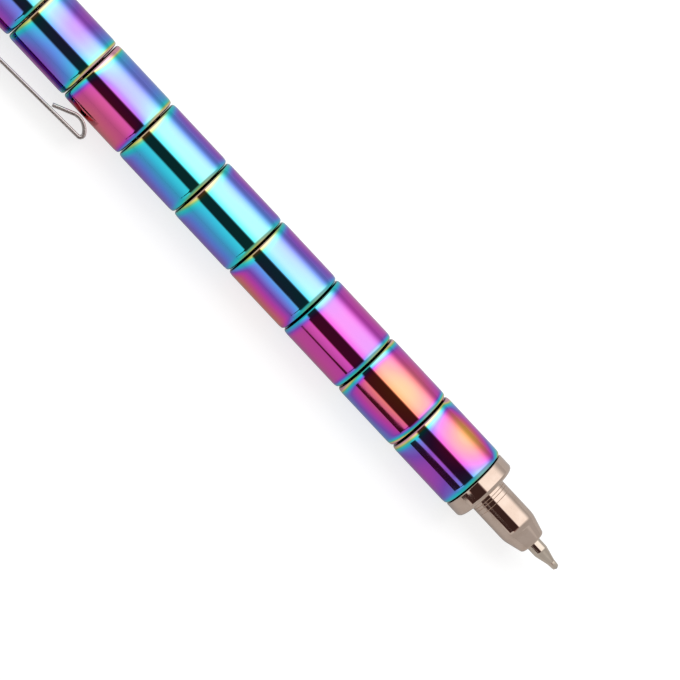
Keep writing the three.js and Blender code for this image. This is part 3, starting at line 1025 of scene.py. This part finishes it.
toward = front * math.cos(camera_back_tilt) - along * math.sin(camera_back_tilt)
pen_in_view = along * math.cos(camera_back_tilt) + front * math.sin(camera_back_tilt)
right = pen_in_view * math.cos(pen_slant) + side * math.sin(pen_slant)
upward = side * math.cos(pen_slant) - pen_in_view * math.sin(pen_slant)
camera = bpy.data.objects.new("camera", bpy.data.cameras.new("camera"))
camera.data.lens = lens_in_mm
camera.data.sensor_width = 36
camera.data.clip_start = 0.01
bpy.context.scene.view_settings.view_transform = "Standard"
camera.matrix_world = Matrix.Translation(aim + toward * camera_distance) @ Matrix(
    (right, upward, toward)
).transposed().to_4x4()
bpy.context.scene.collection.objects.link(camera)
bpy.context.scene.camera = camera
print("The camera is", camera_distance, "m from the pen, with a lens of", lens_in_mm, "mm")

# %% [markdown]
# ## Floor and studio
# The pen lies on a white table. To the camera the table is pure white apart from the pen's soft shadow.
# Bright metal shows what stands round it, so the studio matters more than any lamp: a long softbox
# overhead on the far side, a dark gap beside it where the camera looks through, and a pale panel on the
# clip's side. The world paints them by direction, so they are the same wherever the pen is moved. The
# table glows only for the camera, through clear plastic and, less, in mirrors, so that it is white
# without lighting the pen.

# %% Floor
table_grey = 0.34
table_glow = 0.76
mirrored_glow = 0.22
bpy.ops.object.select_all(action="DESELECT")
bpy.ops.mesh.primitive_plane_add(size=4)
floor = bpy.context.object
floor.name = "floor"
floor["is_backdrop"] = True
paper = Tree(bpy.data.materials.new("white_table"))
floor.data.materials.append(bpy.data.materials["white_table"])
ray = paper.node("ShaderNodeLightPath")
seen = paper.number(ray.outputs["Is Camera Ray"]) + paper.number(ray.outputs["Is Transmission Ray"])
mirrored = paper.number(ray.outputs["Is Glossy Ray"])
matt = paper.node("ShaderNodeBsdfDiffuse", (), {"Color": (table_grey, table_grey, table_grey)})
strength = seen * table_glow + mirrored * mirrored_glow
glow = paper.node("ShaderNodeEmission", (), {"Color": (1, 1, 1), "Strength": strength})
both = paper.node("ShaderNodeAddShader", (), [matt.outputs[0], glow.outputs[0]])
paper.node("ShaderNodeOutputMaterial", (), {"Surface": both.outputs[0]})
print("The table is", round(floor.dimensions.x, 1), "m wide")

# %% [markdown]
# Two angles name every direction that a turned piece can mirror. The tilt is how far the direction
# leans towards the writing end, and the round angle goes about the pen: 0 is straight up, 90 is level
# on the far side and -90 level on the clip's side. A straight wall mirrors nearly one tilt, which grows
# from ring to ring towards the writing end, and every round angle in turn. So a mask of the round angle
# draws stripes along the pen, and a mask of the tilt says on which pieces the stripes show.

# %% Directions
world = bpy.data.worlds.new("studio")
bpy.context.scene.world = world
sky = Tree(world)
direction = sky.node("ShaderNodeTexCoord").outputs["Generated"]
dx, dy, dz = sky.split(direction)
degree = 180 / math.pi
tilt = dx.sum("ARCSINE", dx) * degree
round_angle = dx.sum("ARCTAN2", dy, dz) * degree
print("One radian is", round(degree, 2), "degrees")

# %% [markdown]
# The softbox, the gap and the panel are broad. Beside the panel stands the dark edge of its frame. It
# is a thin line at a small tilt and widens towards the writing end, so it crosses the third ring as a
# hairline and the first as a band, and moves up over the flange and the snout. Cones mirror a larger
# tilt, where the studio is evenly grey with one weak light at the far end. The world is white where the
# camera or the clear plastic looks past the table, but not in the metal, which needs the dark gap.

# %% Lights and dark places
softbox = round_angle.ramp(-15, -11) * round_angle.ramp(50, 82, 1, 0)
gap_edge = tilt.ramp(2.5, 6.0, -47, -54)
gap = (round_angle - gap_edge).ramp(-3, 3) * round_angle.ramp(-18, -12.5, 1, 0)
panel = round_angle.ramp(-100, -52) * round_angle.ramp(-53, -47, 1, 0)

line_middle = tilt.ramp(5.4, 7.6, -86, -78.5)
line_half = tilt.ramp(5.4, 7.4, 3, 13.5)
line_left = line_middle - line_half + tilt.ramp(7.65, 8.15, 0, 15) + tilt.ramp(9, 13, 0, 22)
line_right = line_middle + line_half + tilt.ramp(7.65, 7.9, 0, 19)
line = (round_angle - line_left).ramp(-1.5, 1.5) * (round_angle - line_right).ramp(-1.5, 1.5, 1, 0)
line = line * tilt.ramp(5.05, 5.2) * tilt.ramp(13, 16, 1, 0) * round_angle.ramp(-50, -46, 1, 0)
inside = tilt.ramp(13, 21, 1, 0) * tilt.ramp(-34, -24)
far_end = tilt.ramp(33, 35) * tilt.ramp(36.5, 38, 1, 0) * round_angle.band(-14, 45, 6)
print("The studio has", len(sky.nodes), "nodes so far")

# %% World
studio_grey = 0.50
dark_level = 0.04
dark_tint = (1.35, 0.7, 0.64)
dark = (inside * gap).sum("MAXIMUM", inside * gap, line)
lit = studio_grey + inside * (softbox * 0.9 + panel * 0.35) + far_end * 0.12
level = lit * (1 - dark) + dark * dark_level
ray = sky.node("ShaderNodeLightPath")
white = sky.number(ray.outputs["Is Camera Ray"]) + sky.number(ray.outputs["Is Transmission Ray"])
white = white.ramp(0, 1)
strength = white + (1 - white) * level
colour = sky.mix((1 - white) * dark, (1, 1, 1), dark_tint)
light = sky.node("ShaderNodeBackground", (), {"Color": colour, "Strength": strength})
sky.node("ShaderNodeOutputWorld", (), {"Surface": light.outputs[0]})
print("The studio has", len(sky.nodes), "nodes in all")

# %% [markdown]
# One large lamp hangs above the far side, for the matt pieces and the soft shadow. The metal doesn't
# mirror it, because the world already says what the metal mirrors.

# %% Lamp
lamp_place = (0.1, 0.5, 0.9)
lamp_width = 0.7
lamp_watts = 4.0
bpy.ops.object.light_add(type="AREA", location=lamp_place)
lamp = bpy.context.object
lamp.name = "key_softbox"
lamp.data.size = lamp_width
lamp.data.energy = lamp_watts
lamp.rotation_euler = (aim - lamp.location).to_track_quat("-Z", "Y").to_euler()
lamp.visible_glossy = False
print("The key light stands", round(lamp.location.length, 2), "m away")

# %% [markdown]
# ## The dressed pen's size
# The dressed pen must not outgrow the engineering model, so its box is printed.

# %% Sizes
low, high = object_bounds()
print("Visual model", [round(c / mm, 3) for c in low], [round(c / mm, 3) for c in high])
